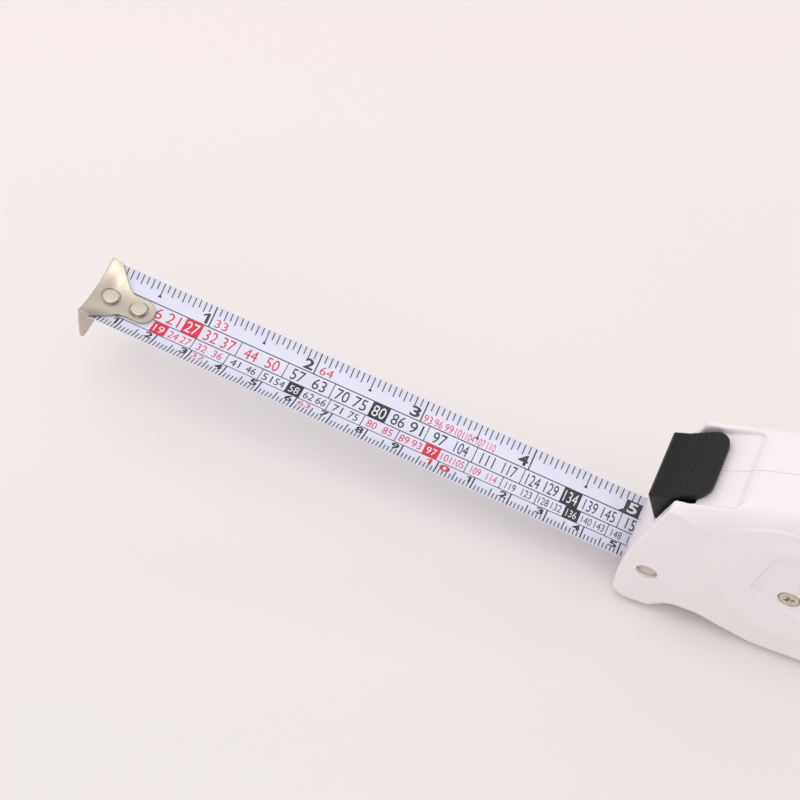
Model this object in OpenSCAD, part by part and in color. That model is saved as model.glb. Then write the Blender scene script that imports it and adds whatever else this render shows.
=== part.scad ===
// Pocket tape measure: moulded two-piece case, spring reel, curved steel
// blade drawn out and held by the thumb lock, and a sliding end hook.
// Millimetres. X runs along the blade, with the hook toward -X, Y is across
// the case and Z is up. The origin is on the flat underside of the case,
// right under the reel's axle.

/* [Case] */
// Height of the case
case_h = 62; // [60:0.5:66]
// From the axle to the back of the case
case_back = 29.5; // [29:0.5:32]
// From the axle to the front of the chin under the mouth
case_front = 41.9; // [41.5:0.1:42.5]
// Height of the reel's axle above the underside
axle_h = 28; // [27.5:0.1:28.5]
// Half the width of the nose and of the rim
rim_half_w = 14; // [13.8:0.1:15]
// How far the domed sides swell past the rim
dome_h = 0.8; // [0.6:0.1:1.2]
// Radius that rounds the rim over to the sides
edge_r = 4; // [3:0.5:5]
// Wall thickness of the shells
wall = 2.2; // [2:0.1:2.4]
// Depth of the panel sunk in each side
panel_depth = 0.8; // [0.6:0.1:1]

/* [Blade] */
// Straight width across the curved blade
blade_w = 19; // [18:0.5:19.5]
// Depth of the blade's curve
blade_curve = 3.24; // [2.8:0.02:3.3]
// Thickness of the blade
blade_t = 0.14; // [0.12:0.01:0.16]
// Length of blade drawn out, from the hook to the mouth
blade_out = 153.5; // [120:0.5:180]
// Rise of the blade toward its hook, in degrees
blade_rise = 8.5; // [8:0.1:9]
// Thickness of the hook's plate
hook_t = 0.9; // [0.8:0.05:1]
// How far the hook's tab reaches below the blade
hook_drop = 9.8; // [9:0.1:9.8]
// Free play of the hook, its own thickness
hook_play = 0.9; // [0.8:0.05:1]

/* [Reel] */
// Outer radius of the wound blade
coil_r = 22.5; // [22:0.1:23]
// Radius of the fixed centre post
post_r = 4; // [3.5:0.1:4.2]
// Turns of the return spring
spring_turns = 7; // [5:1:8]

/* [Lock] */
// Width of the thumb lock
lock_w = 20; // [19:0.2:20.4]
// Slope of the lock's channel, in degrees
lock_slope = 27.5; // [27:0.1:28]
// Travel of the lock up its channel
lock_travel = 5; // [4:0.1:5]
// Number of grip ribs on the lock
rib_count = 7; // [4:1:8]

/* [Hidden] */
$fn = 64;

// Running gap between moving pieces, and the overrun of a cut past a face
gap = 0.3;
cut = 1;

// The blade's line: it passes under the axle at this distance
blade_drop = axle_h - 4;
// From the mouth along the blade to the point under the axle
mouth_reach = 36.9;
axle_reach = blade_out + mouth_reach;
// Radius and half angle of the blade's cross curve
blade_r = (blade_w * blade_w / 4 + blade_curve * blade_curve) / (2 * blade_curve);
blade_half_angle = asin(blade_w / 2 / blade_r);
// The blade's end under the hook, and the tongue it narrows to where it meets the coil
blade_start = 0.75;
tongue_start = axle_reach - 14;
tongue_end = axle_reach - 1;
tongue_half_w = 4.5;
// Width of the blade once it is pressed flat on the reel
flat_w = 2 * blade_r * blade_half_angle * PI / 180;

// Case outline seen from the near side: corners as [x, z, corner radius]
nose_top = [-31.3, 48.9];
arch_h = 4.8;
fan_at = [-15, 35];
case_corners = [
    [-case_front, 0, 3],
    [-31.5, 0, 2],
    [-26.8, arch_h, 4],
    [-20.5, arch_h, 6],
    [-6.5, 0, 12],
    [case_back, 0, 14],
    [case_back, case_h, 22],
    [4.6, case_h, 14],
    [nose_top.x, nose_top.y, 2.5],
    [-case_front, 17.7, 78]];
// Inside half width of the shells, and inside the dome
inner_half_w = 11.6;
dome_inner_half_w = 12.2;
// Centre and radius of the domed side
dome_at = [0.5, 30];
dome_r = 26;
dome_half_w = rim_half_w + dome_h;

// Sunk panel outline on the dome
panel_corners = [[-9.6, 28.6, 2], [2, 22.5, 14], [17.5, 26, 8], [19, 43.5, 9], [-5.2, 46.5, 6]];
badge_corners = [[1.2, 33, 2.5], [16, 33, 4], [16, 42, 5], [1.2, 42, 3]];
badge_t = 0.4;

// The lock's channel floor passes through this point, up a slope
channel_x = -23.5;
channel_z = 49.7;
channel_half_w = 11;
channel_back = lock_travel + 3.8;
channel_plan = [
    [-6, -channel_half_w, 0.2],
    [channel_back, -channel_half_w, 4],
    [channel_back, channel_half_w, 4],
    [-6, channel_half_w, 0.2]];
floor_t = 2;
// Side outline and half width of what stays open in front of the channel's floor
lock_open = [[-45, 34.6], [-32, 34.6], [-23.5, 40.7], [-36.4, 65.5], [-45, 65.5]];
lock_open_half_w = channel_half_w + 0.2;
lock_stem_x = -31.2;
lock_stem_t = 1.8;
lock_stem_half_w = 6;

// Screws: axis places as [x, z]
nose_pin_at = [-34.2, 17.6];
rear_screws_at = [[22.4, 7.8], [19.2, 51.6]];
boss_r = 2.6;
screw_r = 1.2;
screw_head_r = 2.5;
screw_head_t = 1.1;
// Where the heads bear on the case
nose_seat = 11.9;
rear_seat = 12.4;
centre_seat = 13.1;

// Reel
coil_inner_r = 16.4;
ring_r = 15;
ring_wall = 1.2;
web_t = 1.2;
spool_half_w = flat_w / 2;
post_half_l = 11.6;
running = 0.06;

// Hook: its rivets, and the gap that lets it slide on the blade
rivet_places = [4.2, 12.3];
rivet_r = 1.1;
rivet_head_r = 2.1;
plate_gap = 0.1;
plate_r = blade_r - plate_gap;
hook_relief = 1.2;

// Plan of the hook's plate: a wide front that narrows to a round tongue
hook_tongue_half_w = 3.5;
hook_plan = [
    [-hook_t / 2, -blade_w / 2, 0.2],
    [2.6, -blade_w / 2, 1],
    [8.6, -hook_tongue_half_w, 5],
    [16.7, -hook_tongue_half_w, 3.3],
    [16.7, hook_tongue_half_w, 3.3],
    [8.6, hook_tongue_half_w, 5],
    [2.6, blade_w / 2, 1],
    [-hook_t / 2, blade_w / 2, 0.2]];
hook_tab = [
    [-8.7, -hook_drop, 1.8],
    [8.7, -hook_drop, 1.8],
    [blade_w / 2, -1, 2],
    [blade_w / 2, 5, 0.2],
    [-blade_w / 2, 5, 0.2],
    [-blade_w / 2, -1, 2]];

// Thumb lock: its back end, its side outline from the overhanging front edge,
// its plan, and its first and last rib
lock_back = -24;
lock_side = [[-38.3, 44.2], [-35.8, 35.3], [-33.2, 35.2], [-31.6, 45.75], [lock_back, 49.72],
             [lock_back, 50.9], [-24.8, 51.7], [-27.5, 50.6], [-30.5, 48.6], [-34.5, 45.8]];
lock_plan = [[-40, -lock_w / 2, 0.2], [lock_back, -lock_w / 2, 5], [lock_back, lock_w / 2, 5],
             [-40, lock_w / 2, 0.2]];
rib_first = -37.5;
rib_last = -29.4;

// ---------- outlines ----------

function unit(v) = v / norm(v);
function turn(a, b) = a.x * b.y - a.y * b.x;

// Arc in n steps that rounds the corner p between neighbours a and b
function corner_arc(a, p, b, r, n) =
    let (u = unit(a - p),
         v = unit(b - p),
         half = acos(u * v) / 2,
         reach = r / tan(half),
         c = p + unit(u + v) * r / sin(half),
         s = p + u * reach - c,
         e = p + v * reach - c,
         start = atan2(s.y, s.x),
         sweep = atan2(turn(s, e), s * e))
    [for (i = [0:n]) c + r * [cos(start + sweep * i / n), sin(start + sweep * i / n)]];
// Steps of at most the given angle that a corner's arc takes
function arc_steps(a, p, b, step) = max(1, ceil((180 - acos(unit(a - p) * unit(b - p))) / step));

// Outline with rounded corners from [x, y, radius] corners
function rounded(corners, step = 15) =
    let (n = len(corners))
    [for (i = [0:n - 1])
        let (p = [corners[i].x, corners[i].y],
             a = [corners[(i + n - 1) % n].x, corners[(i + n - 1) % n].y],
             b = [corners[(i + 1) % n].x, corners[(i + 1) % n].y])
        each corner_arc(a, p, b, corners[i].z, arc_steps(a, p, b, step))];

// The same corners moved inward by d; the outline runs anticlockwise
function inset(corners, d) =
    let (n = len(corners))
    [for (i = [0:n - 1])
        let (p = [corners[i].x, corners[i].y],
             a = corners[(i + n - 1) % n],
             b = corners[(i + 1) % n],
             u = unit(p - [a.x, a.y]),
             v = unit([b.x, b.y] - p),
             nu = [-u.y, u.x],
             nv = [-v.y, v.x],
             q = p + (nu + nv) / (1 + nu * nv) * d,
             r = turn(u, v) > 0 ? corners[i].z - d : corners[i].z + d)
        [q.x, q.y, max(r, 0.2)]];

// Points of the side outline, keeping the point count the same at every inset
function ring_points(d) =
    let (n = len(case_corners),
         inner = inset(case_corners, d))
    [for (i = [0:n - 1])
        let (p = [inner[i].x, inner[i].y],
             a = [inner[(i + n - 1) % n].x, inner[(i + n - 1) % n].y],
             b = [inner[(i + 1) % n].x, inner[(i + 1) % n].y])
        each corner_arc(a, p, b, inner[i].z, case_corners[i].z > 10 ? 10 : 5)];

// ---------- frames ----------

// Stands an XZ outline up and gives it depth along Y, from y0 to y1
module across(y0, y1) {
    translate([0, y1, 0]) rotate([90, 0, 0]) linear_extrude(y1 - y0) children();
}
// A round bar along Y at [x, z]
module rod_y(at, r, y0, y1) {
    translate([at.x, y1, at.y]) rotate([90, 0, 0]) cylinder(r = r, h = y1 - y0);
}
// The blade's own frame: x from the hook, z up from the bottom of its curve
module on_blade() {
    translate([0, 0, axle_h]) rotate([0, blade_rise, 0])
        translate([-axle_reach, 0, -blade_drop]) children();
}
// The lock channel's frame: x up the slope, z away from the floor
module on_slope() {
    translate([channel_x, 0, channel_z]) rotate([0, -lock_slope, 0]) children();
}

// ---------- case ----------

// Half of the rounded body, from the seam at y = 0 out to y = -rim_half_w
module half_body() {
    levels = 5;
    flat = rim_half_w - edge_r;
    insets = [0, for (k = [0:levels]) edge_r * (1 - cos(90 * k / levels))];
    depths = [0, for (k = [0:levels]) flat + edge_r * sin(90 * k / levels)];
    rings = [for (d = insets) ring_points(d)];
    n = len(rings[0]);
    last = len(rings) - 1;
    // The faces at both ends are fans about a point that sees the whole outline
    points = concat([for (k = [0:last]) for (p = rings[k]) [p.x, -depths[k], p.y]],
                    [[fan_at.x, 0, fan_at.y], [fan_at.x, -rim_half_w, fan_at.y]]);
    faces = [for (i = [0:n - 1]) let (j = (i + 1) % n) each concat(
        [for (k = [0:last - 1]) [k * n + i, (k + 1) * n + i, (k + 1) * n + j, k * n + j]],
        [[i, j, (last + 1) * n], [last * n + j, last * n + i, (last + 1) * n + 1]])];
    polyhedron(points, faces, convexity = 6);
}

// Low dome over the reel on the side at -Y, with a firm edge where it meets
// the rounded rim
module dome() {
    steps = 6;
    flat_r = dome_r - 8;
    slope = [for (i = [0:steps])
        [dome_r - 0.3 - (dome_r - 0.3 - flat_r) * i / steps,
         rim_half_w + dome_h * (1 - cos(180 * i / steps)) / 2]];
    translate([dome_at.x, 0, dome_at.y]) rotate([90, 0, 0])
        rotate_extrude($fn = 96)
            polygon(concat([[0, rim_half_w - 2], [dome_r, rim_half_w - 2],
                            [dome_r, rim_half_w - 0.3]], slope, [[0, dome_half_w]]));
}

// Inside of one shell, under the channel's floor
module half_hollow() {
    intersection() {
        across(-inner_half_w, cut) polygon(rounded(inset(case_corners, wall)));
        on_slope() translate([-100, -20, -100 - floor_t]) cube([200, 40, 100]);
    }
    rod_y([0, axle_h], 24, -dome_inner_half_w, cut);
}

// Where the blade and hook pass: curved like the blade, open above it
module blade_way() {
    on_blade() intersection() {
        translate([blade_out - 12, -10.3, -2]) cube([mouth_reach + 4, 20.6, 8]);
        translate([blade_out - 13, 0, blade_r]) rotate([0, 90, 0])
            cylinder(r = blade_r + 1.1, h = mouth_reach + 8);
    }
}

// Sunk channel for the lock, and the openings for its front and its stem
module lock_way() {
    on_slope() {
        linear_extrude(20) polygon(rounded(channel_plan));
        translate([-14, -lock_stem_half_w - 0.6, -8])
            cube([7.8 + lock_travel, 2 * lock_stem_half_w + 1.2, 20]);
    }
    across(-lock_open_half_w, lock_open_half_w) polygon(lock_open);
}

// Solid bosses that the screws and the post stand in
module half_bosses() {
    rod_y(nose_pin_at, boss_r, -inner_half_w - 0.5, 0);
    for (at = rear_screws_at) rod_y(at, boss_r, -inner_half_w - 0.5, 0);
    rod_y([0, axle_h], 7, -dome_inner_half_w - 0.5, -spool_half_w - 0.8);
}

module shell_half() {
    difference() {
        union() {
            difference() {
                union() {
                    half_body();
                    dome();
                }
                half_hollow();
            }
            half_bosses();
        }
        blade_way();
        lock_way();
        rod_y([0, axle_h], post_r, -post_half_l, cut);
        rod_y([0, axle_h], screw_r + 0.1, -20, cut);
        rod_y([0, axle_h], screw_head_r + 0.3, -20, -centre_seat);
        across(-20, panel_depth - dome_half_w) polygon(rounded(panel_corners));
        translate([-50, -20, -2]) cube([100, 40, 2]);
    }
}

module case_near() {
    color("#e6dcdd") difference() {
        shell_half();
        rod_y(nose_pin_at, screw_head_r + 0.2, -20, -nose_seat);
        rod_y(nose_pin_at, screw_r, -20, cut);
        for (at = rear_screws_at) rod_y(at, screw_r, -8, cut);
    }
}
module case_far() {
    color("#e6dcdd") difference() {
        mirror([0, 1, 0]) shell_half();
        rod_y(nose_pin_at, screw_r, -cut, 9);
        for (at = rear_screws_at) {
            rod_y(at, screw_r, -cut, 20);
            rod_y(at, screw_head_r + 0.1, rear_seat, 20);
        }
    }
}

module badge(y0) {
    across(y0, y0 + badge_t) polygon(rounded(badge_corners));
}
module badge_near() { color("#efe7e7") badge(panel_depth - dome_half_w - badge_t); }
module badge_far() { color("#efe7e7") badge(dome_half_w - panel_depth); }

// Cross-recessed screw along Y: the face under its head is at y_seat
module screw_y(at, y_seat, y_tip) {
    top = y_seat - sign(y_tip - y_seat) * screw_head_t;
    difference() {
        union() {
            rod_y(at, screw_head_r, min(top, y_seat), max(top, y_seat));
            rod_y(at, screw_r, min(y_seat, y_tip), max(y_seat, y_tip));
        }
        for (a = [20, 110])
            translate([at.x, top, at.y]) rotate([0, a, 0])
                cube([2.8, 1.4, 0.7], center = true);
    }
}
// Smooth-headed pin that joins the halves of the nose above the blade
module nose_pin() {
    color("#cfc6bf") {
        rod_y(nose_pin_at, screw_head_r, -nose_seat - 0.9, -nose_seat);
        rod_y(nose_pin_at, screw_r, -nose_seat, 9);
    }
}
module case_screws() {
    color("#c9c4bf") for (at = rear_screws_at) screw_y(at, rear_seat, -7.5);
}

// ---------- reel ----------

module centre_post() {
    color("#b9bcc0") difference() {
        rod_y([0, axle_h], post_r, -post_half_l, post_half_l);
        rod_y([0, axle_h], screw_r, -post_half_l - cut, -post_half_l + 6);
        rod_y([0, axle_h], screw_r, post_half_l - 6, post_half_l + cut);
        translate([0, -5.5, axle_h - 0.5]) cube([post_r + cut, 11, 1]);
    }
}
module centre_screws() {
    color("#d0c8bc") {
        screw_y([0, axle_h], -centre_seat, -post_half_l + 5.5);
        screw_y([0, axle_h], centre_seat, post_half_l - 5.5);
    }
}
module thrust_washers() {
    color("#dcdcd6") for (y = [-spool_half_w - 0.7, spool_half_w + 0.2]) difference() {
        rod_y([0, axle_h], 6.6, y, y + 0.5);
        rod_y([0, axle_h], post_r + 0.15, y - cut, y + 0.5 + cut);
    }
}

module spool() {
    color("#3c4148") difference() {
        rod_y([0, axle_h], ring_r + ring_wall, -spool_half_w, spool_half_w);
        rod_y([0, axle_h], ring_r, -spool_half_w - cut, spool_half_w - web_t);
        rod_y([0, axle_h], post_r + running, -20, 20);
        translate([0, 0, axle_h + ring_r - 1]) cylinder(r = 1, h = 4);
    }
}
module spool_cover() {
    color("#3c4148") difference() {
        rod_y([0, axle_h], ring_r, -spool_half_w, web_t - spool_half_w);
        rod_y([0, axle_h], post_r + running, -20, 20);
    }
}
module return_spring() {
    strip = 0.4;
    half_w = 7.5;
    steps = 24;
    turns = spring_turns + 0.25;
    first_r = post_r + 0.6;
    last_r = ring_r - 0.9;
    n = turns * steps;
    edge = [for (i = [0:n]) let (r = first_r + (last_r - first_r) * i / n, a = 360 * i / steps)
        [r * cos(a), r * sin(a), a]];
    outline = concat([for (p = edge) [p.x, p.y]],
                     [for (i = [n:-1:0]) [edge[i].x + strip * cos(edge[i].z),
                                          edge[i].y + strip * sin(edge[i].z)]]);
    color("#8d9299") translate([0, 0, axle_h]) {
        across(-half_w, half_w) polygon(outline);
        translate([1.2, -5, -0.2]) cube([first_r + strip - 1.2, 10, 0.4]);
    }
}
module spring_rivet() {
    color("#b9bcc0") translate([0, 0, axle_h + ring_r - 0.3]) cylinder(r = 1, h = ring_wall + 0.3);
}
module blade_coil() {
    color("#e2e1f0") difference() {
        rod_y([0, axle_h], coil_r, -spool_half_w, spool_half_w);
        rod_y([0, axle_h], coil_inner_r, -spool_half_w - cut, spool_half_w + cut);
    }
}

// ---------- blade and hook ----------

// The drawn-out blade, down to a tongue that meets the coil under the axle
module blade() {
    color("#e2e1f1") on_blade() difference() {
        intersection() {
            translate([0, 0, blade_r]) rotate([0, 90, 0]) cylinder(r = blade_r + blade_t, h = axle_reach);
            translate([0, 0, -cut]) linear_extrude(8) polygon([
                [blade_start, -blade_w / 2],
                [tongue_start, -blade_w / 2],
                [tongue_end, -tongue_half_w],
                [tongue_end, tongue_half_w],
                [tongue_start, blade_w / 2],
                [blade_start, blade_w / 2]]);
        }
        translate([-cut, 0, blade_r]) rotate([0, 90, 0]) cylinder(r = blade_r, h = axle_reach + 2 * cut);
        for (x = rivet_places) translate([x, 0, -cut]) cylinder(r = rivet_r, h = 3);
    }
}
module hook() {
    color("#dcd2c9") on_blade() difference() {
        union() {
            intersection() {
                linear_extrude(8) polygon(rounded(hook_plan));
                translate([-5, 0, blade_r]) rotate([0, 90, 0]) cylinder(r = plate_r, h = 30);
            }
            difference() {
                translate([-hook_t / 2, 0, 0]) rotate([90, 0, 90])
                    linear_extrude(hook_t) polygon(rounded(hook_tab));
                // The tab is a little thinner above the face that meets the work
                translate([hook_t / 2 - 0.1, -blade_w, -hook_relief]) cube([1, 2 * blade_w, 10]);
            }
        }
        translate([-10, 0, blade_r]) rotate([0, 90, 0]) cylinder(r = plate_r - hook_t, h = 40);
        for (x = rivet_places) {
            translate([x, 0, -1]) cylinder(r = rivet_r + gap, h = 4);
            translate([x + hook_play, 0, -1]) cylinder(r = rivet_r + gap, h = 4);
            translate([x, -rivet_r - gap, -1]) cube([hook_play, 2 * (rivet_r + gap), 4]);
        }
    }
}
module hook_rivets() {
    head_z = plate_gap + hook_t + 0.25;
    color("#e0d4c8") on_blade() for (x = rivet_places) {
        translate([x, 0, head_z]) cylinder(r = rivet_head_r, h = 0.55);
        translate([x, 0, -blade_t - 0.4]) cylinder(r = rivet_r, h = head_z + blade_t + 0.5);
        translate([x, 0, -blade_t - 0.7]) cylinder(r = 1.7, h = 0.5);
    }
}

// ---------- lock ----------

// Height of the thumb piece's dished top at x
function lock_top(x) = lookup(x, [[-38.3, 44.2], [-34.5, 45.8], [-30.5, 48.6], [-27.5, 50.6]]);
module lock_slider() {
    color("#323234") intersection() {
        translate([0, 0, 30]) linear_extrude(30) polygon(rounded(lock_plan));
        union() {
            across(-lock_w / 2, lock_w / 2) polygon(lock_side);
            for (i = [0:rib_count - 1]) {
                x = rib_first + (rib_last - rib_first) * i / (rib_count - 1);
                rod_y([x, lock_top(x)], 0.35, -lock_w / 2, lock_w / 2);
            }
        }
    }
}

// Stem through the channel's floor with wings under it and two feet on the blade
module lock_shoe() {
    color("#3a3a3c") intersection() {
        on_slope() translate([-60, -20, -60]) cube([120, 40, 60.25]);
        union() {
            translate([lock_stem_x, -lock_stem_half_w, 17])
                cube([lock_stem_t, 2 * lock_stem_half_w, 40]);
            on_slope() translate([-9, -9.6, -floor_t - gap - 1.2]) cube([7, 19.2, 1.2]);
            translate([lock_stem_x, -8.8, 17]) cube([lock_stem_t, 17.6, 3]);
            intersection() {
                for (y = [-8.8, 5.2]) translate([lock_stem_x, y, 5]) cube([lock_stem_t, 3.6, 14]);
                blade_cylinder(blade_r - 1.8);
            }
        }
    }
}
module lock_pads() {
    color("#4a4a4c") difference() {
        intersection() {
            for (y = [-8.8, 5.2]) translate([lock_stem_x, y, 5]) cube([lock_stem_t, 3.6, 14]);
            blade_cylinder(blade_r - 0.35);
        }
        blade_cylinder(blade_r - 1.8);
    }
}
// A round bar along the blade, about the centre of its cross curve
module blade_cylinder(r) {
    on_blade() translate([blade_out - 10, 0, blade_r]) rotate([0, 90, 0]) cylinder(r = r, h = 50);
}
module lock_spring() {
    color("#a5a9ae") on_slope() {
        translate([4.8, -4, -floor_t - 0.35]) cube([7, 8, 0.35]);
        translate([4.8, -4, -floor_t - 1.6]) cube([0.35, 8, 1.6]);
    }
}

case_near();
case_far();
badge_near();
badge_far();
nose_pin();
case_screws();
centre_post();
centre_screws();
thrust_washers();
spool();
spool_cover();
return_spring();
spring_rivet();
blade_coil();
blade();
hook();
hook_rivets();
lock_slider();
lock_shoe();
lock_pads();
lock_spring();
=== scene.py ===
import math

import bmesh
import bpy
import numpy as np
from mathutils import Matrix, Vector


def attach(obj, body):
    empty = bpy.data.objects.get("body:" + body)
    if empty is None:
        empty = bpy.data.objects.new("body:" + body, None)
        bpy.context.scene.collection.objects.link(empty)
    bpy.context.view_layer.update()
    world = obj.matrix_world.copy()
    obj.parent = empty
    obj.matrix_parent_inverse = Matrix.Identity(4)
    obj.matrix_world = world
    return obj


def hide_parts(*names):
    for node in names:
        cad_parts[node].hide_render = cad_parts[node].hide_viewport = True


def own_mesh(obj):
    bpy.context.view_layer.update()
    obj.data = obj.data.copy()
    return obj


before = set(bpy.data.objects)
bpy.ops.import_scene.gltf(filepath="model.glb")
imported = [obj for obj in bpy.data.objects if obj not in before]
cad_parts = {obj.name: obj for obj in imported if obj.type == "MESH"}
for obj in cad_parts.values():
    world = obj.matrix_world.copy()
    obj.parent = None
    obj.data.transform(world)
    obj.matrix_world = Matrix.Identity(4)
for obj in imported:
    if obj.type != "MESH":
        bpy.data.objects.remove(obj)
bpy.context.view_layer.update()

MM = 0.001

# ---------------------------------------------------------------- camera

EYE = (1.687, -249.01, 406.994)
FORWARD = Vector((-0.23197696, 0.53846, -0.81008976))
UP = Vector((-0.32234981, 0.74319891, 0.58629854))
LENS = 83.16

camera_data = bpy.data.cameras.new("camera")
camera_data.lens = LENS
camera_data.sensor_width = 36.0
camera_data.clip_start, camera_data.clip_end = 0.01, 20.0
camera = bpy.data.objects.new("camera", camera_data)
bpy.context.scene.collection.objects.link(camera)
back = -FORWARD.normalized()
right = UP.cross(back).normalized()
turn = Matrix((right, back.cross(right), back)).transposed()
camera.matrix_world = Matrix.Translation(Vector(EYE) * MM) @ turn.to_4x4()
bpy.context.scene.camera = camera

# ---------------------------------------------------------------- shared sizes

AXLE_H = 28.0
RISE = math.radians(8.5)
BLADE_OUT = 153.5
MOUTH_REACH = 36.9
AXLE_REACH = BLADE_OUT + MOUTH_REACH
BLADE_DROP = AXLE_H - 4.0
BLADE_W, BLADE_CURVE, BLADE_T = 19.0, 3.24, 0.14
BLADE_R = (BLADE_W ** 2 / 4 + BLADE_CURVE ** 2) / (2 * BLADE_CURVE)
HALF_ANGLE = math.asin(BLADE_W / 2 / BLADE_R)
RIM, DOME, EDGE, WALL = 14.0, 0.8, 4.0, 2.2
SLOPE = math.radians(27.5)
CHANNEL_AT = (-23.5, 49.7)
CHANNEL_HALF_W = 11.0


def to_part(p):
    """Points of the blade's own frame, as an (n, 3) array, in the part's frame."""
    x, y, z = p[:, 0] - AXLE_REACH, p[:, 1], p[:, 2] - BLADE_DROP
    c, s = math.cos(RISE), math.sin(RISE)
    return np.stack([c * x + s * z, y, AXLE_H - s * x + c * z], 1)


# ---------------------------------------------------------------- distance fields


def smax(a, b, k):
    h = np.maximum(k - np.abs(a - b), 0) / k
    return np.maximum(a, b) + h * h * k * 0.25


def smin(a, b, k):
    return -smax(-a, -b, k)


def ramp(value, low, high):
    """Rises smoothly from 0 at low to 1 at high; low may be the greater of the two."""
    t = np.clip((value - low) / (high - low), 0, 1)
    return t * t * (3 - 2 * t)


def slab(value, low, high):
    """Distance to the space between two parallel planes."""
    return np.maximum(low - value, value - high)


class Outline:
    """Signed distance to a closed outline of lines and arcs, from [x, y, radius] corners that run
    anticlockwise. It is negative inside."""

    def __init__(self, corners):
        self.lines, self.arcs = [], []
        n = len(corners)
        ends = []
        for i, corner in enumerate(corners):
            r = corner[2]
            a, p, b = (np.array(corners[j % n][:2], float) for j in (i - 1, i, i + 1))
            u = (a - p) / np.linalg.norm(a - p)
            v = (b - p) / np.linalg.norm(b - p)
            half = math.acos(float(np.clip(u @ v, -1, 1))) / 2
            reach = r / math.tan(half)
            c = p + (u + v) / np.linalg.norm(u + v) * r / math.sin(half)
            s, e = p + u * reach, p + v * reach
            middle = (s + e) / 2 - c
            convex = v[0] * u[1] - v[1] * u[0] > 0
            span = math.acos(float(np.clip((s - c) @ (e - c) / r ** 2, -1, 1))) / 2
            self.arcs.append((c, r, math.atan2(middle[1], middle[0]), span, 1 if convex else -1))
            ends.append((s, e))
        for i in range(n):
            self.lines.append((ends[i][1], ends[(i + 1) % n][0]))

    def __call__(self, x, y):
        x, y = np.broadcast_arrays(np.asarray(x, float), np.asarray(y, float))
        best = np.full(x.shape, 1e9)
        signed = np.full(x.shape, 1e9)
        for p, q in self.lines:
            d = q - p
            t = np.clip(((x - p[0]) * d[0] + (y - p[1]) * d[1]) / (d @ d), 0, 1)
            dx, dy = x - p[0] - t * d[0], y - p[1] - t * d[1]
            dist = np.hypot(dx, dy)
            side = np.where(d[0] * dy - d[1] * dx > 0, -1.0, 1.0)
            near = dist < best
            best = np.where(near, dist, best)
            signed = np.where(near, dist * side, signed)
        for c, r, middle, span, sense in self.arcs:
            dx, dy = x - c[0], y - c[1]
            off = np.abs((np.arctan2(dy, dx) - middle + math.pi) % (2 * math.pi) - math.pi)
            dist = np.hypot(dx, dy) - r
            near = (off <= span) & (np.abs(dist) < best)
            best = np.where(near, np.abs(dist), best)
            signed = np.where(near, dist * sense, signed)
        return signed


CASE_FRONT, CASE_BACK, CASE_H = -41.9, 29.5, 62
ARCH_H = 4.8
NOSE_TOP = (-31.3, 48.9)
KNEE_H = 17.7                    # above here the front of the nose leans back
FRONT_OUT = (-0.947, 0.322)      # direction out of the leaning front
TOP_OUT = (-0.343, 0.939)        # direction out of the slope behind the nose's top
CASE = Outline([
    (CASE_FRONT, 0, 3), (-31.5, 0, 2), (-26.8, ARCH_H, 4), (-20.5, ARCH_H, 6), (-6.5, 0, 12),
    (CASE_BACK, 0, 14), (CASE_BACK, CASE_H, 22), (4.6, CASE_H, 14), NOSE_TOP + (2.5,),
    (CASE_FRONT, KNEE_H, 78)])
PANEL = Outline([(-9.6, 28.6, 2), (2, 22.5, 14), (17.5, 26, 8), (19, 43.5, 9), (-5.2, 46.5, 6)])
CHANNEL_BACK = 8.8
CHANNEL = Outline([(-60, -CHANNEL_HALF_W, 0.2), (CHANNEL_BACK, -CHANNEL_HALF_W, 4),
                   (CHANNEL_BACK, CHANNEL_HALF_W, 4), (-60, CHANNEL_HALF_W, 0.2)])
LOCK_OPEN = Outline([(-60, 34.6, 0.2), (-32, 34.6, 0.5), (-23.5, 40.7, 0.5), (-36.4, 65.5, 0.5),
                     (-60, 65.5, 0.2)])
DOME_AT, DOME_R, DOME_FLAT_R = (0.5, 30.0), 24.4, 16.5
DOME_FOOT = 0.12                 # how far below the side the dome's slope starts
PANEL_DEPTH = 0.8
NOSE_PIN = (-34.2, 17.6)
REAR_SCREWS = ((22.4, 7.8), (19.2, 51.6))
NOSE_SEAT, REAR_SEAT, CENTRE_SEAT = 11.9, 12.4, 13.1
INNER_HALF_W, DOME_INNER_HALF_W = 11.6, 12.2
REEL_ROOM_R, BEARING_R, POST_R, BOSS_R = 24, 7, 4, 2.6
FLOOR_T = 2
MOUTH_HALF_W, MOUTH_SPARE, MOUTH_END = 10.3, 1.1, 182.4


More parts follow.
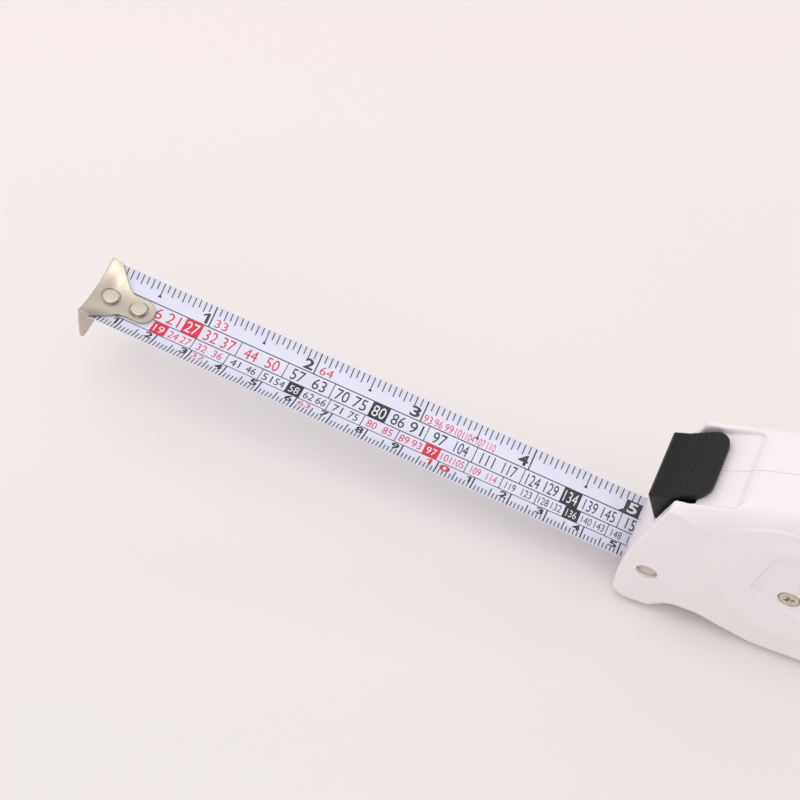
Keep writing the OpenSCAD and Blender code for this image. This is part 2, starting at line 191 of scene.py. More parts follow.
def shell_field(far):
    """The moulded half of the case on the far or the near side of the seam."""

    def field(x, y, z):
        d = y if far else -y
        s = CASE(x, z)
        # the edge is crisp down the front of the nose, long and soft along the top
        leaning = -FRONT_OUT[0] * (x - CASE_FRONT) - FRONT_OUT[1] * (z - KNEE_H)
        front = np.where(z < KNEE_H, x - CASE_FRONT, leaning)
        under = -TOP_OUT[0] * (x - NOSE_TOP[0]) - TOP_OUT[1] * (z - NOSE_TOP[1])
        crisp = ramp(under - front, -2, 2) * ramp(front, 10, 5) * ramp(z, 2.5, 5.5)
        deep = EDGE + 0.5 * ramp(z, 6, 2) - 3.2 * crisp
        deep = deep + (-1 if far else 4) * ramp(under, 14, 8) * (1 - crisp) * ramp(x, 25, 5)
        edge = np.minimum(deep, EDGE + 0.5)
        u, v = 1 + s / deep, 1 + (d - RIM) / edge
        body = np.where((u > 0) & (v > 0), (np.sqrt(u * u + v * v) - 1) * edge,
                        np.maximum(s, d - RIM))
        rr = np.hypot(x - DOME_AT[0], z - DOME_AT[1])
        t = np.clip((DOME_R - rr) / (DOME_R - DOME_FLAT_R), 0, 1)
        top = RIM - DOME_FOOT + (DOME + DOME_FOOT) * (1 - np.cos(math.pi * t)) / 2
        dome = np.maximum(smax(d - top, rr - DOME_R, 0.4), 12 - d)
        f = smin(body, dome, 0.3)
        # the sunk panel on the side
        f = smax(f, -smax(PANEL(x, z), RIM + DOME - PANEL_DEPTH - d, 0.2), 0.2)
        # up and along the lock's channel
        along = (x - CHANNEL_AT[0]) * math.cos(SLOPE) + (z - CHANNEL_AT[1]) * math.sin(SLOPE)
        above = (z - CHANNEL_AT[1]) * math.cos(SLOPE) - (x - CHANNEL_AT[0]) * math.sin(SLOPE)
        reel = np.hypot(x, z - AXLE_H)
        hollow = np.minimum(np.maximum(np.maximum(s + WALL, d - INNER_HALF_W), above + FLOOR_T),
                            np.maximum(reel - REEL_ROOM_R, d - DOME_INNER_HALF_W))
        f = smax(f, -hollow, 0.3)
        for at in (NOSE_PIN,) + REAR_SCREWS:
            boss = np.hypot(x - at[0], z - at[1]) - BOSS_R
            f = smin(f, np.maximum(boss, d - 12.1), 0.3)
        f = smin(f, np.maximum(reel - BEARING_R, slab(d, 11.0, 12.7)), 0.3)
        # channel, running out softly at its back, front opening, and the way of the lock's stem
        rise = 0.9 * ramp(along, 6.2, CHANNEL_BACK)
        f = smax(f, -smax(CHANNEL(along, d), rise - above, 0.5), 1.0)
        f = smax(f, -smax(LOCK_OPEN(x, z), d - CHANNEL_HALF_W - 0.1, 0.4), 0.6)
        stem_way = np.maximum(slab(along, -14, -1.2), np.maximum(d - 6.6, slab(above, -8, 12)))
        f = smax(f, -stem_way, 0.2)
        # mouth, curved like the blade
        c, q = math.cos(RISE), math.sin(RISE)
        xb = c * x - q * (z - AXLE_H) + AXLE_REACH
        zb = q * x + c * (z - AXLE_H) + BLADE_DROP
        way = np.maximum(np.hypot(d, zb - BLADE_R) - BLADE_R - MOUTH_SPARE, slab(zb, -2, 6))
        way = np.maximum(np.maximum(way, d - MOUTH_HALF_W), slab(xb, BLADE_OUT - 12, MOUTH_END))
        f = smax(f, -way, 0.5)
        # bores and screw seats
        f = smax(f, -np.maximum(reel - POST_R, d - INNER_HALF_W), 0.1)
        f = smax(f, -(reel - 1.3), 0.1)
        f = smax(f, -np.maximum(reel - 2.8, CENTRE_SEAT - d), 0.2)
        if far:
            for at in REAR_SCREWS:
                head = np.hypot(x - at[0], z - at[1]) - BOSS_R
                f = smax(f, -np.maximum(head, REAR_SEAT - d), 0.25)
        else:
            nose = np.hypot(x - NOSE_PIN[0], z - NOSE_PIN[1])
            f = smax(f, -np.maximum(nose - 2.7, NOSE_SEAT - d), 0.3)
        return smax(f, 0.03 - d, 0.3)

    return field


LOCK_BACK = -24.0
LOCK_HALF_W = 10.0
LOCK_SIDE = Outline([(-38.3, 44.2, 0.5), (-35.8, 35.3, 0.3), (-33.2, 35.2, 0.3),
                     (-31.6, 45.75, 0.4), (LOCK_BACK, 49.72, 0.3), (LOCK_BACK, 50.9, 0.5),
                     (-24.8, 51.7, 0.6), (-27.5, 50.6, 5), (-30.5, 48.6, 6), (-34.5, 45.8, 6)])
LOCK_PLAN = Outline([(-60, -LOCK_HALF_W, 0.2), (LOCK_BACK, -LOCK_HALF_W, 5),
                     (LOCK_BACK, LOCK_HALF_W, 5), (-60, LOCK_HALF_W, 0.2)])
RIB_TOP = ((-38.3, -34.5, -30.5, -27.5), (44.2, 45.8, 48.6, 50.6))
RIBS = np.linspace(-37.5, -29.4, 7)


def lock_field(x, y, z):
    w = np.abs(y)
    f = LOCK_SIDE(x, z)
    for rib in RIBS:
        past = np.maximum(w - LOCK_HALF_W + 0.9, 0)
        bar = np.sqrt((x - rib) ** 2 + (z - np.interp(rib, *RIB_TOP)) ** 2 + past ** 2) - 0.35
        f = smin(f, bar, 0.25)
    f = smax(f, w - LOCK_HALF_W, 0.7)
    return smax(f, LOCK_PLAN(x, y), 0.7)


HOOK_T = 0.9
PLATE_R = BLADE_R - 0.1
HOOK_PLAN = Outline([(-6, -9.5, 0.2), (2.6, -9.5, 0.8), (8.6, -3.5, 5), (16.7, -3.5, 3.3),
                     (16.7, 3.5, 3.3), (8.6, 3.5, 5), (2.6, 9.5, 0.8), (-6, 9.5, 0.2)])
HOOK_TAB = Outline([(-8.7, -9.8, 2.2), (8.7, -9.8, 2.2), (9.5, -1, 2), (9.5, 5, 0.2),
                    (-9.5, 5, 0.2), (-9.5, -1, 2)])
RIVETS = (4.2, 12.3)
BEND_LIFT = 1.5                  # how far the plate's middle rises to lie flat at the bend


def hook_field(x, y, z):
    """In the blade's frame: a curved plate on the blade, bent down into a tab at its front."""
    # the plate flattens out toward the bend
    curved = z - BEND_LIFT * (1 - (y / 9.5) ** 2) * ramp(x, 5, -0.5)
    rr = np.hypot(y, curved - BLADE_R)
    plate = smax(np.maximum(rr - PLATE_R, curved - BLADE_R), HOOK_PLAN(x, y), 0.2)
    tab = smax(x - HOOK_T / 2, HOOK_TAB(y, z), 0.25)
    f = smin(plate, tab, 0.5)
    f = smax(f, PLATE_R - HOOK_T - rr, 0.25)
    f = smax(f, -HOOK_T / 2 - x, 0.6)
    for at in RIVETS:
        r = np.hypot(x - at, y)
        f = smax(f, 1.35 - np.hypot(np.maximum(np.abs(x - at - 0.3) - 0.3, 0), y), 0.1)
        ring = np.maximum(np.abs(r - 2.3) - 0.22, rr - (PLATE_R - HOOK_T + 0.3))
        f = smax(f, -ring, 0.1)
    return f


def rivet_field(x, y, z):
    f = None
    for at in RIVETS:
        r = np.hypot(x - at, y)
        head = smax(r - 2.1, slab(z, 1.2, 1.95 - 0.02 * r * r), 0.2)
        shank = np.maximum(r - 1.1, slab(z, -0.6, 1.5))
        tail = smax(r - 1.7, slab(z, -0.84, -0.24), 0.3)
        one = np.minimum(np.minimum(head, shank), tail)
        f = one if f is None else np.minimum(f, one)
    return f


def screw_field(side, seat, tip, at, spin):
    """A cross-recessed screw along Y with its head outward, on the side of that sign."""

    def field(x, y, z):
        d = y * side
        a, b = x - at[0], z - at[1]
        r = np.hypot(a, b)
        head = smax(r - 2.5, slab(d, seat, seat + 1.1 - 0.03 * r * r), 0.5)
        f = np.minimum(head, np.maximum(r - 1.2, slab(d, tip, seat + 0.4)))
        c, q = math.cos(spin), math.sin(spin)
        p, o = np.abs(a * c + b * q), np.abs(b * c - a * q)
        deep = d - (seat + 1.1)
        arm = np.maximum(np.minimum(p, o) - 0.42 - 0.15 * deep, np.maximum(p, o) - 1.4 - 0.5 * deep)
        return smax(f, -np.maximum(arm, -0.8 - deep), 0.1)

    return field


def pin_field(x, y, z):
    r = np.hypot(x - NOSE_PIN[0], z - NOSE_PIN[1])
    d = -y
    head = smax(r - 2.5, slab(d, NOSE_SEAT, 13.3 - 0.05 * r * r), 0.5)
    return np.minimum(head, np.maximum(r - 1.2, slab(d, -9, 12.2)))


# ---------------------------------------------------------------- field to mesh


def steps(*stops):
    """Grid lines from (start, size of step, next start, size of step, ..., end)."""
    out = []
    for a, step, b in zip(stops[0:-1:2], stops[1::2], stops[2::2]):
        n = max(1, round((b - a) / step))
        out += [a + (b - a) * i / n for i in range(n)]
    return np.array(out + [stops[-1]])


def settle(field, p, rounds, reach):
    """Moves points onto the field's surface and gives the normals there."""
    h = 0.01

    def slope(q, f0):
        g = np.stack([field(q[:, 0] + h, q[:, 1], q[:, 2]) - f0,
                      field(q[:, 0], q[:, 1] + h, q[:, 2]) - f0,
                      field(q[:, 0], q[:, 1], q[:, 2] + h) - f0], 1) / h
        return g

    for _ in range(rounds):
        f0 = field(*p.T)
        g = slope(p, f0)
        size = np.maximum((g * g).sum(1), 0.2)
        p = p - g * (np.clip(f0, -reach, reach) / size)[:, None]
    g = slope(p, field(*p.T))
    return p, g / np.maximum(np.linalg.norm(g, axis=1), 1e-6)[:, None]


def skin(name, field, xs, ys, zs, place=None):
    """A closed quad mesh of the surface where the field is zero."""
    f = np.ascontiguousarray(np.broadcast_to(
        field(xs[:, None, None], ys[None, :, None], zs[None, None, :]),
        (len(xs), len(ys), len(zs))))
    inside = f < 0
    grid = [g.astype(float) for g in np.meshgrid(xs, ys, zs, indexing="ij")]
    count = np.zeros([n - 1 for n in f.shape])
    total = [np.zeros_like(count) for _ in range(3)]
    crossings = []
    for axis in range(3):
        low = [slice(None)] * 3
        high = [slice(None)] * 3
        low[axis], high[axis] = slice(0, -1), slice(1, None)
        low, high = tuple(low), tuple(high)
        cross = inside[low] != inside[high]
        gap = np.where(cross, f[low] - f[high], 1.0)
        t = np.where(cross, f[low] / gap, 0.0)
        others = [a for a in range(3) if a != axis]
        spots = []
        for a in range(3):
            start = grid[a][low]
            spots.append(np.where(cross, start + t * (grid[a][high] - start), 0.0))
        for i in (0, 1):
            for j in (0, 1):
                part = [slice(None)] * 3
                part[others[0]] = slice(i, i - 1 if i == 0 else None)
                part[others[1]] = slice(j, j - 1 if j == 0 else None)
                part = tuple(part)
                count += cross[part]
                for a in range(3):
                    total[a] += spots[a][part]
        crossings.append((cross, inside[low]))
    used = count > 0
    index = np.full(count.shape, -1)
    index[used] = np.arange(int(used.sum()))
    points = np.stack([t[used] / count[used] for t in total], 1)
    quads = []
    for axis, (cross, low_inside) in enumerate(crossings):
        b, c = (axis + 1) % 3, (axis + 2) % 3
        where = np.argwhere(cross)
        keep = (where[:, b] > 0) & (where[:, b] < f.shape[b] - 1)
        keep &= (where[:, c] > 0) & (where[:, c] < f.shape[c] - 1)
        where = where[keep]
        outward = low_inside[tuple(where.T)]
        ring = []
        for db, dc in ((-1, -1), (0, -1), (0, 0), (-1, 0)):
            cell = where.copy()
            cell[:, b] += db
            cell[:, c] += dc
            ring.append(index[tuple(cell.T)])
        ring = np.stack(ring, 1)
        ring[~outward] = ring[~outward][:, ::-1]
        quads.append(ring)
    quads = np.concatenate(quads)
    reach = min(np.diff(g).min() for g in (xs, ys, zs)) * 2
    points, normals = settle(field, points, 3, reach)
    if place:
        tips = place(points + normals)
        points = place(points)
        normals = tips - points
    return make_mesh(name, points, quads, normals)


def make_mesh(name, points, faces, normals=None):
    """An object at the origin from points in millimetres and faces as index rows."""
    mesh = bpy.data.meshes.new(name)
    mesh.from_pydata((np.asarray(points) * MM).tolist(), [], [list(map(int, q)) for q in faces])
    mesh.polygons.foreach_set("use_smooth", [True] * len(mesh.polygons))
    mesh.update()
    if normals is not None:
        mesh.normals_split_custom_set_from_vertices(normals.tolist())
    obj = bpy.data.objects.new(name, mesh)
    bpy.context.scene.collection.objects.link(obj)
    return obj


# ---------------------------------------------------------------- materials


def srgb(r, g, b):
    """A linear colour from 0 to 255 screen values."""
    def one(v):
        v /= 255
        return v / 12.92 if v <= 0.04045 else ((v + 0.055) / 1.055) ** 2.4
    return (one(r), one(g), one(b), 1.0)


def material(name, colour, rough, metallic=0.0, tint=0.03, grain=900.0, bump=0.05,
             stretch=(1, 1, 1), shine=0.5, rough_vary=0.06, blotch=60.0):
    """Plastic, paint or metal: the colour drifts softly, and a fine grain breaks up the gloss."""
    m = bpy.data.materials.new(name)
    m.use_nodes = True
    nodes, links = m.node_tree.nodes, m.node_tree.links
    shader = nodes["Principled BSDF"]
    shader.inputs["Metallic"].default_value = metallic
    shader.inputs["Specular IOR Level"].default_value = shine
    where = nodes.new("ShaderNodeTexCoord")
    soft = nodes.new("ShaderNodeTexNoise")
    soft.inputs["Scale"].default_value = blotch
    soft.inputs["Detail"].default_value = 3.0
    links.new(where.outputs["Object"], soft.inputs["Vector"])
    drift = nodes.new("ShaderNodeValToRGB")
    drift.color_ramp.elements[0].position = 0.3
    drift.color_ramp.elements[1].position = 0.7
    for element, shade in zip(drift.color_ramp.elements, (1 - tint, 1 + tint)):
        element.color = tuple(min(1.0, c * shade) for c in colour[:3]) + (1.0,)
    links.new(soft.outputs["Fac"], drift.inputs["Fac"])
    links.new(drift.outputs["Color"], shader.inputs["Base Color"])
    spread = nodes.new("ShaderNodeMapping")
    spread.inputs["Scale"].default_value = stretch
    links.new(where.outputs["Object"], spread.inputs["Vector"])
    fine = nodes.new("ShaderNodeTexNoise")
    fine.inputs["Scale"].default_value = grain
    fine.inputs["Detail"].default_value = 4.0
    links.new(spread.outputs["Vector"], fine.inputs["Vector"])
    gloss = nodes.new("ShaderNodeMapRange")
    gloss.inputs["To Min"].default_value = max(0.02, rough - rough_vary)
    gloss.inputs["To Max"].default_value = rough + rough_vary
    links.new(fine.outputs["Fac"], gloss.inputs["Value"])
    links.new(gloss.outputs["Result"], shader.inputs["Roughness"])
    if bump:
        raised = nodes.new("ShaderNodeBump")
        raised.inputs["Strength"].default_value = bump
        raised.inputs["Distance"].default_value = 0.0002
        links.new(fine.outputs["Fac"], raised.inputs["Height"])
        links.new(raised.outputs["Normal"], shader.inputs["Normal"])
    return m


CASE_WHITE = material("case_plastic", srgb(247, 239, 241), 0.24, tint=0.006, grain=500, bump=0.006,
                      rough_vary=0.03, blotch=25)
LOCK_BLACK = material("lock_plastic", srgb(27, 28, 29), 0.45, shine=0.3, tint=0.12, grain=2500,
                      bump=0.06, rough_vary=0.08, blotch=180)
BLADE_PAINT = material("blade_paint", srgb(226, 226, 243), 0.34, tint=0.015, grain=1800, bump=0.03,
                       rough_vary=0.05, blotch=90)
INK_BLACK = material("ink_black", srgb(42, 43, 50), 0.42, tint=0.18, grain=3000, bump=0.05,
                     rough_vary=0.08, blotch=900)
INK_GREY = material("ink_grey", srgb(76, 78, 90), 0.42, tint=0.12, grain=3000, bump=0.05,
                    rough_vary=0.08, blotch=900)
INK_NAVY = material("ink_navy", srgb(52, 54, 66), 0.42, tint=0.10, grain=3000, bump=0.05,
                    rough_vary=0.08, blotch=600)
INK_RED = material("ink_red", srgb(220, 42, 72), 0.42, tint=0.06, grain=3000, bump=0.05,
                   rough_vary=0.08, blotch=700)
INK_WHITE = material("ink_white", srgb(232, 232, 240), 0.4, tint=0.03, grain=3000, bump=0.04,
                     rough_vary=0.06, blotch=700)
NICKEL = material("hook_nickel", srgb(205, 194, 180), 0.37, metallic=1.0, tint=0.05, grain=700,
                  bump=0.10, stretch=(1, 12, 1), rough_vary=0.10, blotch=140)
# painted light: the rivets' nickel is a lighter copy of the hook's, so the heads stay bright while the
# plate's colour is made darker
RIVET_LIT = material("rivet_nickel_painted_light", srgb(224, 212, 200), 0.38, metallic=1.0, tint=0.05, grain=1500,
                 bump=0.08, rough_vary=0.08, blotch=300)
PIN = material("pin_nickel", srgb(206, 196, 188), 0.5, metallic=0.4, tint=0.05, grain=1800,
               bump=0.1, rough_vary=0.08, blotch=500)
SCREW = material("screw_steel", srgb(214, 204, 192), 0.34, metallic=1.0, tint=0.10, grain=2200,
                 bump=0.12, rough_vary=0.12, blotch=400)
LABEL = material("badge_foil", srgb(240, 233, 234), 0.42, tint=0.01, grain=1200, bump=0.03)
NYLON = material("washer_plastic", srgb(216, 216, 208), 0.4, tint=0.02, grain=1500, bump=0.05)
REEL = material("reel_plastic", srgb(58, 62, 68), 0.45, tint=0.06, grain=1600, bump=0.08)
SPRING = material("spring_steel", srgb(120, 126, 136), 0.32, metallic=1.0, tint=0.10, grain=1200,
                  bump=0.08, stretch=(1, 8, 1))
PAD = material("pad_rubber", srgb(60, 60, 62), 0.7, tint=0.08, grain=1800, bump=0.15)


def dress(obj, look):
    obj.data.materials.clear()
    obj.data.materials.append(look)
    return obj


# ---------------------------------------------------------------- case, lock, hook, screws

FINE = 0.35
ACROSS = steps(-0.3, 0.1, 0.5, 0.3, 1.1, 0.7, 9.6, 0.3, 15.1)
CASE_X = steps(-43.0, FINE, 30.3)
CASE_Z = steps(-0.8, FINE, 62.8)
case_near = skin("shell_near", shell_field(False), CASE_X, -ACROSS[::-1], CASE_Z)
case_far = skin("shell_far", shell_field(True), CASE_X, ACROSS, CASE_Z)
for obj, node in ((case_near, "case_near"), (case_far, "case_far")):
    dress(obj, CASE_WHITE)
    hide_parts(node)
    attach(obj, "case")

lock = skin("thumb_lock", lock_field, steps(-39.2, FINE / 1.75, -23.4), steps(-10.2, 0.3, 10.2),
            steps(34.6, FINE / 1.75, 52.6))
dress(lock, LOCK_BLACK)
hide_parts("lock_slider")
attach(lock, "lock")

hook = skin("end_hook", hook_field, steps(-0.8, 0.15, 17.3),
            steps(-10.0, 0.25, -2.8, 0.14, 2.8, 0.25, 10.0),
            steps(-10.3, 0.25, -0.9, 0.15, 5.5), place=to_part)
dress(hook, NICKEL)
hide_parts("hook")
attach(hook, "hook")

rivets = skin("hook_rivet_heads", rivet_field, steps(1.7, 0.12, 14.8), steps(-2.5, 0.12, 2.5),
              steps(-1.1, 0.1, 2.1), place=to_part)
dress(rivets, RIVET_LIT)
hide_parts("hook_rivets")
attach(rivets, "tape")

SCREW_LINES = steps(-2.8, 0.12, 2.8)
for side, name in ((-1, "axle_screw_near"), (1, "axle_screw_far")):
    depth = steps(5.9, 0.4, 12.6, 0.1, 14.5)
    screw = skin(name, screw_field(side, CENTRE_SEAT, 6.1, (0, AXLE_H), math.radians(20)), SCREW_LINES,
                 depth if side > 0 else -depth[::-1], AXLE_H + SCREW_LINES)
    dress(screw, SCREW)
    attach(screw, "case")
    if side < 0:
        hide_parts("centre_screws")
for i, at in enumerate(REAR_SCREWS):
    screw = skin(f"rear_screw_{i}", screw_field(1, REAR_SEAT, -7.5, at, math.radians(35 + 40 * i)),
                 at[0] + SCREW_LINES, steps(-7.8, 0.8, 11.9, 0.1, 13.8), at[1] + SCREW_LINES)
    dress(screw, SCREW)
    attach(screw, "case")
    if i == 0:
        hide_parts("case_screws")
pin = skin("nose_pin_head", pin_field, NOSE_PIN[0] + SCREW_LINES,
           steps(-13.6, 0.1, -11.6, 0.8, 9.3), NOSE_PIN[1] + SCREW_LINES)
dress(pin, PIN)
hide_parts("nose_pin")
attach(pin, "case")

# ---------------------------------------------------------------- blade

BLADE_START = 0.75
SPLIT = 29.55        # the blade in front of here stays stiff as it goes into the case
TAIL = 181.0         # from here on it lies flat on its way to the coil, inside the case
BLADE_END = 189.4
TAIL_LIFT = BLADE_DROP - 22.5 - 0.3 - BLADE_T


def blade_strip(name, stations):
    """A closed strip of the curved blade; each station is (x, share of the full curve)."""
    n = 40
    rows = []
    for x, k in stations:
        r = BLADE_R / k
        a = HALF_ANGLE * k * (2 * np.arange(n + 1) / n - 1)
        for down, run in ((0.0, a), (BLADE_T, a[::-1])):
            z = TAIL_LIFT * (1 - k) + r - (r + down) * np.cos(run)
            rows.append(np.stack([np.full(n + 1, x), (r + down) * np.sin(run), z], 1))
    points = to_part(np.concatenate(rows))
    m = 2 * (n + 1)
    faces = [[m * s + i, m * s + (i + 1) % m, m * (s + 1) + (i + 1) % m, m * (s + 1) + i]
             for s in range(len(stations) - 1) for i in range(m)]
    last = m * (len(stations) - 1)
    for i in range(n):
        faces.append([i + 1, i, m - 1 - i, m - 2 - i])
        faces.append([last + i, last + i + 1, last + m - 2 - i, last + m - 1 - i])
    obj = make_mesh(name, points, faces)
    sharp = []
    for i, j in (tuple(e.vertices) for e in obj.data.edges):
        end_ring = i // m == j // m and i // m in (0, len(stations) - 1)
        long_edge = i // m != j // m and i % m == j % m and i % m in (0, n, n + 1, m - 1)
        sharp.append(end_ring or long_edge)
    attribute = obj.data.attributes.new("sharp_edge", "BOOLEAN", "EDGE")
    attribute.data.foreach_set("value", sharp)
    return dress(obj, BLADE_PAINT)


def carry(obj, front):
    """The stiff front of the blade rides on the tape; the rest is carried by the case, on a mesh of
    its own.
    """
    if front:
        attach(obj, "tape")
    else:
        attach(obj, "case")
        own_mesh(obj)


front = blade_strip("blade_front", [(BLADE_START, 1), (SPLIT, 1)])
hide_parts("blade")
middle = blade_strip("blade_middle", [(SPLIT, 1), (BLADE_OUT, 1), (TAIL, 1)])
tail_stations = [(TAIL, 1)] + [(TAIL + (BLADE_END - TAIL) * i / 8, (1 - i / 8) ** 1.6 * 0.98 + 0.02)
                               for i in range(1, 9)]
tail = blade_strip("blade_tail", tail_stations)
carry(front, True)
carry(middle, False)
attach(tail, "case")

# ---------------------------------------------------------------- print on the blade
# Places are (x, v): x from the hook's zero, v across the blade along its curve, + to the far edge.

LINE_UPPER, LINE_MIDDLE, LINE_LOWER = 4.35, -0.25, -4.35
EDGE_FAR, EDGE_NEAR = 10.1, -10.1
UNIT = 1000 / 33
LINE_T = 0.27
LONG_TICK_T, HALF_TICK_T, TICK_T = 0.38, 0.33, 0.3
ink = {}


def put(colour, faces, level=1):
    """Adds flat faces, each a list of (x, v) corners, to a colour's print."""
    ink.setdefault((colour, level), []).extend(faces)


def bar(colour, x0, v0, x1, v1, level=1):
    n = max(1, math.ceil(abs(v1 - v0) / 0.55))
    for i in range(n):
        a, b = v0 + (v1 - v0) * i / n, v0 + (v1 - v0) * (i + 1) / n
        put(colour, [[(x0, a), (x1, a), (x1, b), (x0, b)]], level)


def stripe(colour, x0, x1, v, width, level=1):
    """A long line along the blade, cut where the blade's mesh is cut."""
    for a, b in ((x0, min(x1, SPLIT)), (max(x0, SPLIT), x1)):
        if b > a:
            bar(colour, a, v - width / 2, b, v + width / 2, level)


glyphs = {}
# A figure 1 with a flag, for the typeface's own is a bare bar
FLAGGED_ONE = (((0.52, 0), (1, 0), (1, 0.78), (0.52, 0.78)),
               ((0.52, 0.78), (1, 0.78), (1, 1), (0.64, 1)),
               ((0, 0.58), (0.52, 0.78), (0.64, 1), (0, 0.76)))


def glyph(text, bold):
    """Triangles of a figure from the built-in typeface, scaled to a box of 1 by 1."""
    if (text, bold) not in glyphs:
        curve = bpy.data.curves.new("figure", "FONT")
        curve.body = text
        curve.offset = bold
        curve.resolution_u = 5
        obj = bpy.data.objects.new("figure", curve)
        bpy.context.scene.collection.objects.link(obj)
        bpy.context.view_layer.update()
        mesh = bpy.data.meshes.new_from_object(obj.evaluated_get(
            bpy.context.evaluated_depsgraph_get()))
        shape = bmesh.new()
        if text == "1":
            for corners in FLAGGED_ONE:
                shape.faces.new([shape.verts.new((a, b, 0)) for a, b in corners])
        else:
            shape.from_mesh(mesh)
        bmesh.ops.remove_doubles(shape, verts=shape.verts, dist=1e-5)
        co = np.array([v.co[:2] for v in shape.verts])
        low, size = co.min(0), np.ptp(co, axis=0)
        for v in shape.verts:
            v.co = ((v.co.x - low[0]) / size[0], (v.co.y - low[1]) / size[1], 0)
        for i in range(1, 6):
            bmesh.ops.bisect_plane(shape, geom=shape.verts[:] + shape.edges[:] + shape.faces[:],
                                   plane_co=(0, i / 6, 0), plane_no=(0, 1, 0))
        bmesh.ops.triangulate(shape, faces=shape.faces)
        shape.normal_update()
        glyphs[text, bold] = [
            [(v.co.x, v.co.y) for v in (f.verts if f.normal.z > 0 else reversed(f.verts))]
            for f in shape.faces]
        shape.free()
        bpy.data.meshes.remove(mesh)
        bpy.data.objects.remove(obj)
        bpy.data.curves.remove(curve)
    return glyphs[text, bold]


def figure(colour, text, x0, v0, width, height, bold=0.02, level=1):
    put(colour, [[(x0 + a * width, v0 + b * height) for a, b in face]
                 for face in glyph(text, bold)], level)


# lines along the blade
PRINT_END = 178.0
for v in (LINE_UPPER, LINE_MIDDLE, LINE_LOWER):
    stripe("black", 7.0, PRINT_END, v, LINE_T)

# near edge: millimetres, with figures at each centimetre
for mm in range(2, int(PRINT_END)):
    if mm % 10 == 0:
        top, width = LINE_LOWER, LONG_TICK_T
    elif mm % 5 == 0:
        top, width = -5.6, HALF_TICK_T
    else:
        top, width = -7.1, TICK_T
    bar("black" if mm % 10 == 0 else "grey", mm - width / 2, EDGE_NEAR, mm + width / 2, top)
for cm in range(1, 18):
    text = str(cm % 10)
    if cm == 10:
        figure("red", "1", 96.9, -7.35, 1.5, 2.6)
        figure("red", "0", 100.65, -7.4, 2.8, 2.7, 0.035)
        continue
    width = 1.25 if text == "1" else 2.05
    figure("black", text, cm * 10 - 0.75 - width, -7.25, width, 2.6, 0.03)

# far edge: units of 1000 / 33 mm in twenty parts, with a small arrowhead halfway
for n in range(2, int(PRINT_END / UNIT * 20)):
    x = n * UNIT / 20
    if 4.85 <= x / UNIT <= 5.01:
        continue
    if n % 20 == 0:
        bar("black", x - 0.18, LINE_UPPER, x + 0.18, EDGE_FAR)
    elif n % 20 == 10:
        bar("grey", x - 0.15, 6.6, x + 0.15, EDGE_FAR)
        put("black", [[(x - 0.58, 6.2), (x + 0.58, 6.2), (x, 7.1)]])
    else:
        bar("grey", x - 0.15, 7.4 if n % 2 == 0 else 8.0, x + 0.15, EDGE_FAR)
for n in range(1, 5):
    width = 1.7 if n == 1 else 2.65
    figure("black", str(n), n * UNIT - 0.75 - width, 4.85, width, 2.85, 0.028)
end = 5 * UNIT
for n in (97, 98, 99):
    bar("grey", n * UNIT / 20 - 0.15, 8.0, n * UNIT / 20 + 0.15, EDGE_FAR)
bar("navy", end - 4.3, LINE_UPPER - 0.1, end, 8.0)
put("navy", [[(end - 5.7, LINE_UPPER), (end - 4.3, LINE_UPPER), (end - 4.3, 5.4)]])
figure("white", "5", end - 3.4, 4.85, 2.5, 2.75, 0.025, level=2)


def running(colour, x, v, size, bold=0.0, level=1, tall=0.9):
    """The millimetres at x as a squarish figure, whatever its digits."""
    figure(colour, str(round(x)), x - size / 2, v - size * tall / 2, size, size * tall, bold, level)


def band(pitch, low, high, block, size, red_cells, first):
    """Cells between two lines: every fourth divider is a solid block, and the figures give
    their own places in millimetres."""
    v = (low + high) / 2
    for n in range(1, int(PRINT_END / pitch)):
        x = n * pitch
        solid = n % 4 == 2
        if solid:
            bar("red" if red_cells(n) else "black", x - block / 2, low, x + block / 2, high)
            running("white", x, v, size, 0.0, level=2)
        elif x > first:
            bar("black", x - 0.11, low, x + 0.11, high)
        left = x + (block / 2 if solid else 0)
        right = (n + 1) * pitch - (block / 2 if (n + 1) % 4 == 2 else 0)
        for share in (0.27, 0.73):
            middle = left + (right - left) * share
            if middle - size / 2 > first:
                running("red" if red_cells(n + 0.5) else "black", middle, v, size)


UPPER_PITCH, LOWER_PITCH = 429 / 32, 9.7
band(UPPER_PITCH, LINE_MIDDLE, LINE_UPPER, 4.9, 3.6, lambda n: n < 4, 13.0)
band(LOWER_PITCH, LINE_LOWER, LINE_MIDDLE, 4.2, 2.7, lambda n: int(n / 4) % 2 == 0, 15.0)
# small red figures above and below the bands
for n in (1, 2):
    running("red", n * UNIT + 3.0, 6.05, 3.6, tall=0.62)
    running("red", n * UNIT + 1.9, -5.75, 3.4, tall=0.56)
for i in range(7):
    running("red", 3 * UNIT + 1.7 + 2.95 * i, 5.75, 2.3)

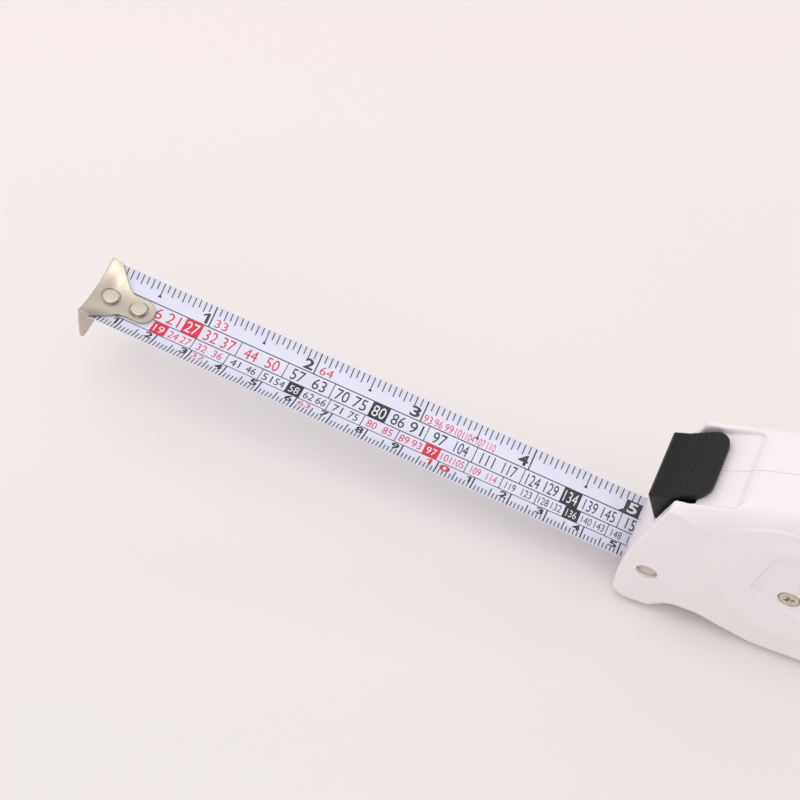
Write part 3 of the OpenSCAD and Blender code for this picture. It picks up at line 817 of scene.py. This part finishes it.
INKS = {"black": INK_BLACK, "grey": INK_GREY, "red": INK_RED, "navy": INK_NAVY, "white": INK_WHITE}
LIFT, SINK = 0.012, 0.03
for (colour, level), faces in sorted(ink.items()):
    for is_front in (True, False):
        chosen = [f for f in faces if (sum(p[0] for p in f) / len(f) < SPLIT) == is_front]
        if not chosen:
            continue
        spots, table = {}, []
        for face in chosen:
            table.append([spots.setdefault((round(x, 4), round(v, 4)), len(spots))
                          for x, v in face])
        places = np.array(list(spots))
        n = len(places)
        both = []
        for lift in (LIFT * level, -SINK):
            a = places[:, 1] / BLADE_R
            both.append(np.stack([places[:, 0], (BLADE_R - lift) * np.sin(a),
                                  BLADE_R - (BLADE_R - lift) * np.cos(a)], 1))
        table = [f for f in table if len(set(f)) == len(f)]
        edges = {}
        for f in table:
            for a, b in zip(f, f[1:] + f[:1]):
                edges[a, b] = edges.get((a, b), 0) + 1
        walls = [[b, a, a + n, b + n] for a, b in edges if (b, a) not in edges]
        under = [[i + n for i in reversed(f)] for f in table]
        obj = make_mesh(f"print_{colour}_{'front' if is_front else 'middle'}",
                        to_part(np.concatenate(both)), table + under + walls)
        obj.data.polygons.foreach_set("use_smooth", [False] * len(obj.data.polygons))
        dress(obj, INKS[colour])
        carry(obj, is_front)

# ---------------------------------------------------------------- pieces kept from the CAD

KEPT = {
    "badge_near": LABEL, "badge_far": LABEL, "centre_post": SCREW, "thrust_washers": NYLON,
    "spool": REEL, "spool_cover": REEL, "return_spring": SPRING, "spring_rivet": SCREW,
    "blade_coil": BLADE_PAINT, "lock_shoe": LOCK_BLACK, "lock_pads": PAD, "lock_spring": SPRING}
for node, look in KEPT.items():
    dress(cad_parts[node], look)

# ---------------------------------------------------------------- floor and light

bpy.ops.mesh.primitive_plane_add(size=6.0, location=(0, 0, -0.00005))
floor = bpy.context.object
floor.name = "floor"
floor_look = material("floor_paper", srgb(245, 240, 237), 0.75, tint=0.004, grain=300, bump=0.0,
                      blotch=4)
# painted shade: the floor's colour grows a little darker toward the viewer, as if less light reached
# it there
floor_nodes, floor_links = floor_look.node_tree.nodes, floor_look.node_tree.links
where = floor_nodes.new("ShaderNodeTexCoord")
along = floor_nodes.new("ShaderNodeVectorMath")
along.operation = "DOT_PRODUCT"
along.inputs[1].default_value = (-0.398, 0.917, 0)
span = floor_nodes.new("ShaderNodeMapRange")
span.inputs["From Min"].default_value, span.inputs["From Max"].default_value = -0.03, 0.2
shade = floor_nodes.new("ShaderNodeValToRGB")
shade.color_ramp.elements[0].color = srgb(235, 230, 227)
shade.color_ramp.elements[1].color = srgb(244, 234, 232)
floor_links.new(where.outputs["Object"], along.inputs[0])
floor_links.new(along.outputs["Value"], span.inputs["Value"])
floor_links.new(span.outputs["Result"], shade.inputs["Fac"])
floor_links.new(shade.outputs["Color"], floor_nodes["Principled BSDF"].inputs["Base Color"])
middle_shade = shade.color_ramp.elements.new(0.4)
middle_shade.color = srgb(240, 234, 231)
dress(floor, floor_look)

# an even tent of light, brighter overhead than at the horizon
world = bpy.data.worlds.new("studio")
bpy.context.scene.world = world
world.use_nodes = True
sky_nodes, sky_links = world.node_tree.nodes, world.node_tree.links
direction = sky_nodes.new("ShaderNodeTexCoord")
split = sky_nodes.new("ShaderNodeSeparateXYZ")
sky_links.new(direction.outputs["Generated"], split.inputs["Vector"])
sky = sky_nodes.new("ShaderNodeValToRGB")
sky.color_ramp.elements[0].color = (0.56, 0.56, 0.57, 1)
sky.color_ramp.elements[1].color = (1.25, 1.235, 1.26, 1)
shoulder = sky.color_ramp.elements.new(0.8)
shoulder.color = (1.0, 0.99, 1.01, 1)
sky_links.new(split.outputs["Z"], sky.inputs["Fac"])
sky_links.new(sky.outputs["Color"], sky_nodes["Background"].inputs["Color"])
sky_nodes["Background"].inputs["Strength"].default_value = 0.85


def softbox(name, place, aim, size, power, colour=(1, 1, 1)):
    data = bpy.data.lights.new(name, "AREA")
    data.shape = "RECTANGLE"
    data.size, data.size_y = size
    data.energy = power
    data.color = colour
    obj = bpy.data.objects.new(name, data)
    bpy.context.scene.collection.objects.link(obj)
    obj.location = place
    obj.rotation_mode = "QUATERNION"
    obj.rotation_quaternion = (Vector(aim) - Vector(place)).to_track_quat("-Z", "Y")


AIM = (-0.07, 0.0, 0.02)
softbox("key", (-0.08, -0.25, 1.1), AIM, (0.6, 0.6), 2.1, (1.0, 0.95, 0.87))
softbox("fill", (0.2, -0.9, 0.5), AIM, (1.2, 0.8), 0.7, (0.92, 0.99, 1.0))
softbox("side", (-1.1, 0.1, 0.5), AIM, (0.6, 1.0), 1.3, (0.95, 0.99, 1.0))
softbox("rim", (0.0, 1.0, 0.6), AIM, (1.2, 0.2), 0.7)

bpy.context.scene.view_settings.view_transform = "Standard"
